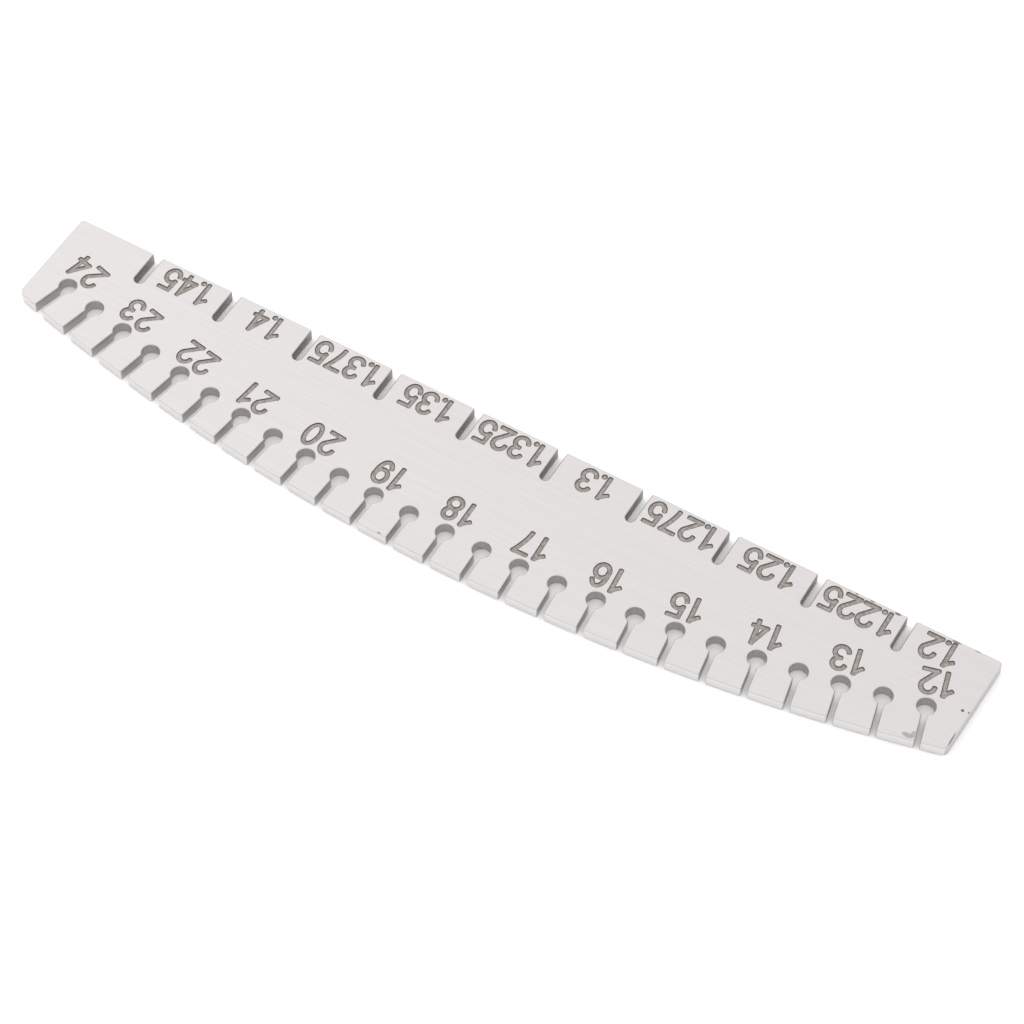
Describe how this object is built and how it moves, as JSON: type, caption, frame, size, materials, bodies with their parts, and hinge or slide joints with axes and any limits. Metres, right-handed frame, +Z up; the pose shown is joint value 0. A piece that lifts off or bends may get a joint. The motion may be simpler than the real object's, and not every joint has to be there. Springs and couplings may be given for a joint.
{
  "type": "music wire gauge",
  "caption": "Flat stainless steel plate gauge: keyhole slots along its crowned edge and round-ended slots along its straight edge measure wire diameter.",
  "frame": {"origin": "centre of the plate's outline at its lower face, the face it rests on", "axes": "+X along the plate from the thin-wire end to the thick-wire end, +Y across it towards the crowned edge with the keyholes, +Z up out of the engraved face"},
  "size_m": [0.1396, 0.0236, 0.0018],
  "materials": {
    "brushed_steel_plate": "fine satin brushed along the length, numerals engraved with darker floors"
  },
  "bodies": {
    "root": {"gauge_plate": "brushed_steel_plate"}
  },
  "joints": []
}
